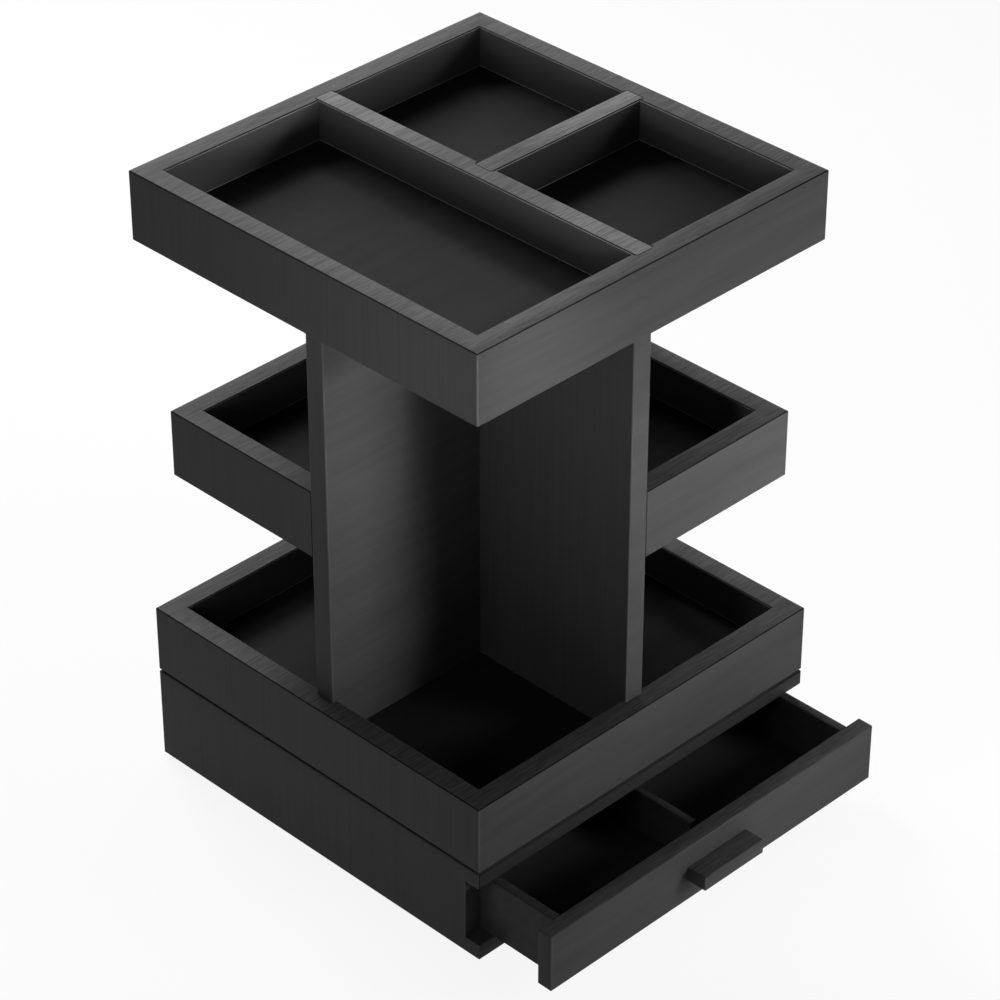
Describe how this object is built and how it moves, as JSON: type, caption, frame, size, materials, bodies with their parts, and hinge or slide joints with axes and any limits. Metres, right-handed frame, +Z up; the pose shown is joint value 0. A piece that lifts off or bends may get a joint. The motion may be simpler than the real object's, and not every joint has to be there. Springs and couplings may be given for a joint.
{
  "type": "rotating perfume organizer",
  "caption": "Square countertop organizer: a carousel of open trays round a cross of upright panels turns on a ball bearing over a base with a pull-out drawer.",
  "frame": {"origin": "on the floor that the feet rest on, on the turntable's axis, in the middle of the base", "axes": "+Z up, along the turntable's axis. -Y the way the drawer pulls out. +X to the right for a person who faces the drawer."},
  "size_m": [0.2, 0.2517, 0.2981],
  "materials": {
    "black_laminate": "satin black laminate with a fine wood grain",
    "black_lining": "smooth black laminate, a little glossier",
    "bearing_aluminium": "satin turned aluminium",
    "ball_steel": "polished steel",
    "screw_steel": "zinc-plated steel",
    "beech": "plain beech",
    "rubber": "matte black rubber"
  },
  "bodies": {
    "base": {"rubber_feet": "rubber", "base_bottom": "black_laminate", "base_left_side": "black_laminate", "base_right_side": "black_laminate", "base_back": "black_laminate", "base_top": "black_laminate", "base_screws": "screw_steel", "base_dowels": "beech", "bearing_outer_ring": "bearing_aluminium", "bearing_outer_screws": "screw_steel", "bearing_balls": "ball_steel"},
    "carousel": {"bearing_inner_ring": "bearing_aluminium", "bearing_inner_screws": "screw_steel", "lower_floor": "black_lining", "lower_front_wall": "black_laminate", "lower_right_wall": "black_laminate", "lower_back_wall": "black_laminate", "lower_left_wall": "black_laminate", "main_panel": "black_laminate", "left_panel": "black_laminate", "right_panel": "black_laminate", "panel_screws": "screw_steel", "mid_left_floor": "black_lining", "mid_left_side_wall": "black_laminate", "mid_left_back_wall": "black_laminate", "mid_right_floor": "black_lining", "mid_right_side_wall": "black_laminate", "mid_right_front_wall": "black_laminate", "mid_tray_dowels": "beech", "top_floor": "black_lining", "top_front_wall": "black_laminate", "top_right_wall": "black_laminate", "top_back_wall": "black_laminate", "top_left_wall": "black_laminate", "long_divider": "black_laminate", "short_divider": "black_laminate", "top_tray_dowels": "beech"},
    "drawer": {"drawer_front": "black_laminate", "drawer_left_side": "black_lining", "drawer_right_side": "black_lining", "drawer_back": "black_lining", "drawer_bottom": "black_lining", "drawer_partition": "black_lining", "drawer_dowels": "beech", "drawer_handle": "black_laminate", "handle_screws": "screw_steel"}
  },
  "joints": [
    {"name": "turntable", "type": "hinge", "parent": "base", "child": "carousel", "pos_m": [0, 0, 0.0525], "axis": [0, 0, 1], "continuous": true},
    {"name": "drawer_slide", "type": "slide", "parent": "base", "child": "drawer", "axis": [0, -1, 0], "range_m": [-0.0416, 0.0784]}
  ]
}
